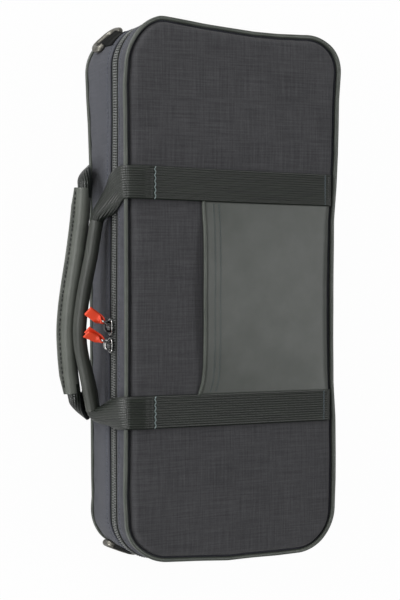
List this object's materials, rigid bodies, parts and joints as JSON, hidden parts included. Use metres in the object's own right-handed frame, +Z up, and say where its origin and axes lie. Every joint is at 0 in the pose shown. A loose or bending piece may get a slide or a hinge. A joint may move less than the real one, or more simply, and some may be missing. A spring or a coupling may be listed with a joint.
{
  "type": "clarinet case",
  "caption": "Soft-sided oblong instrument case with zippered lid, webbing straps with leather grips, front pocket and corner rings.",
  "frame": {"origin": "middle of the padded panel's face that the case rests on, below the middle of the fabric sides' length and width", "axes": "+X along the case towards its lower end, +Y from the handles towards the fabric hinge, +Z up through the lid"},
  "size_m": [0.4026, 0.2074, 0.106],
  "materials": {
    "shell_board": "matte",
    "woven_charcoal": "matte",
    "piping_leather": "satin",
    "olive_leather": "satin",
    "black_webbing": "satin",
    "zipper_tape": "matte",
    "zipper_teeth": "satin",
    "plush_bed": "matte",
    "plush_lining": "matte",
    "ring_metal": "satin",
    "slider_metal": "gloss",
    "red_leather": "satin"
  },
  "bodies": {
    "base": {"base_shell": "shell_board", "base_gusset": "woven_charcoal", "back_panel": "woven_charcoal", "base_piping": "piping_leather", "base_zipper_tape": "zipper_tape", "base_zipper_coil": "zipper_teeth", "instrument_bed": "plush_bed", "fabric_hinge": "zipper_tape", "rear_strap_upper": "black_webbing", "rear_strap_lower": "black_webbing", "ring_tab_upper": "black_webbing", "ring_tab_lower": "black_webbing"},
    "lid": {"lid_shell": "shell_board", "lid_panel": "woven_charcoal", "lid_gusset": "woven_charcoal", "lid_piping": "piping_leather", "lid_zipper_tape": "zipper_tape", "lid_zipper_coil": "zipper_teeth", "front_strap_upper": "black_webbing", "front_strap_lower": "black_webbing", "pocket_panel": "olive_leather", "pocket_binding": "piping_leather", "lid_lining": "plush_lining"},
    "front_handle": {"front_handle_webbing": "black_webbing", "front_handle_grip": "olive_leather"},
    "rear_handle": {"rear_handle_webbing": "black_webbing", "rear_handle_grip": "olive_leather"},
    "upper_ring": {"d_ring_upper": "ring_metal"},
    "lower_ring": {"d_ring_lower": "ring_metal"},
    "upper_slider": {"slider_upper": "slider_metal"},
    "lower_slider": {"slider_lower": "slider_metal"},
    "upper_pull": {"puller_upper": "slider_metal", "pull_tab_upper": "red_leather"},
    "lower_pull": {"puller_lower": "slider_metal", "pull_tab_lower": "red_leather"}
  },
  "joints": [
    {"name": "lid_hinge", "type": "hinge", "parent": "base", "child": "lid", "pos_m": [0, 0.0865, 0.0661], "axis": [-1, 0, 0], "range_deg": [0, 180], "deforming": ["fabric_hinge"]},
    {"name": "front_handle_swing", "type": "hinge", "parent": "lid", "child": "front_handle", "pos_m": [0, -0.0875, 0.0921], "axis": [-1, 0, 0], "range_deg": [0, 150], "deforming": ["front_handle_webbing"]},
    {"name": "rear_handle_swing", "type": "hinge", "parent": "base", "child": "rear_handle", "pos_m": [0, -0.0875, 0.0041], "axis": [1, 0, 0], "range_deg": [0, 45], "deforming": ["rear_handle_webbing"]},
    {"name": "upper_ring_swing", "type": "hinge", "parent": "base", "child": "upper_ring", "pos_m": [-0.19075, -0.07628, 0.033], "axis": [-0.6691, 0.7431, 0], "range_deg": [0, 170]},
    {"name": "lower_ring_swing", "type": "hinge", "parent": "base", "child": "lower_ring", "pos_m": [0.19642, -0.06754, 0.033], "axis": [-0.4067, -0.9135, 0], "range_deg": [0, 170]},
    {"name": "upper_slider_run", "type": "slide", "parent": "base", "child": "upper_slider", "axis": [-1, 0, 0], "range_m": [0, 0.17]},
    {"name": "lower_slider_run", "type": "slide", "parent": "base", "child": "lower_slider", "axis": [1, 0, 0], "range_m": [0, 0.11]},
    {"name": "upper_pull_swing", "type": "hinge", "parent": "upper_slider", "child": "upper_pull", "pos_m": [0.0245, -0.0884, 0.0661], "axis": [0, 0, -1], "range_deg": [0, 54]},
    {"name": "lower_pull_swing", "type": "hinge", "parent": "lower_slider", "child": "lower_pull", "pos_m": [0.037, -0.0884, 0.0661], "axis": [0, 0, 1], "range_deg": [0, 110]}
  ]
}
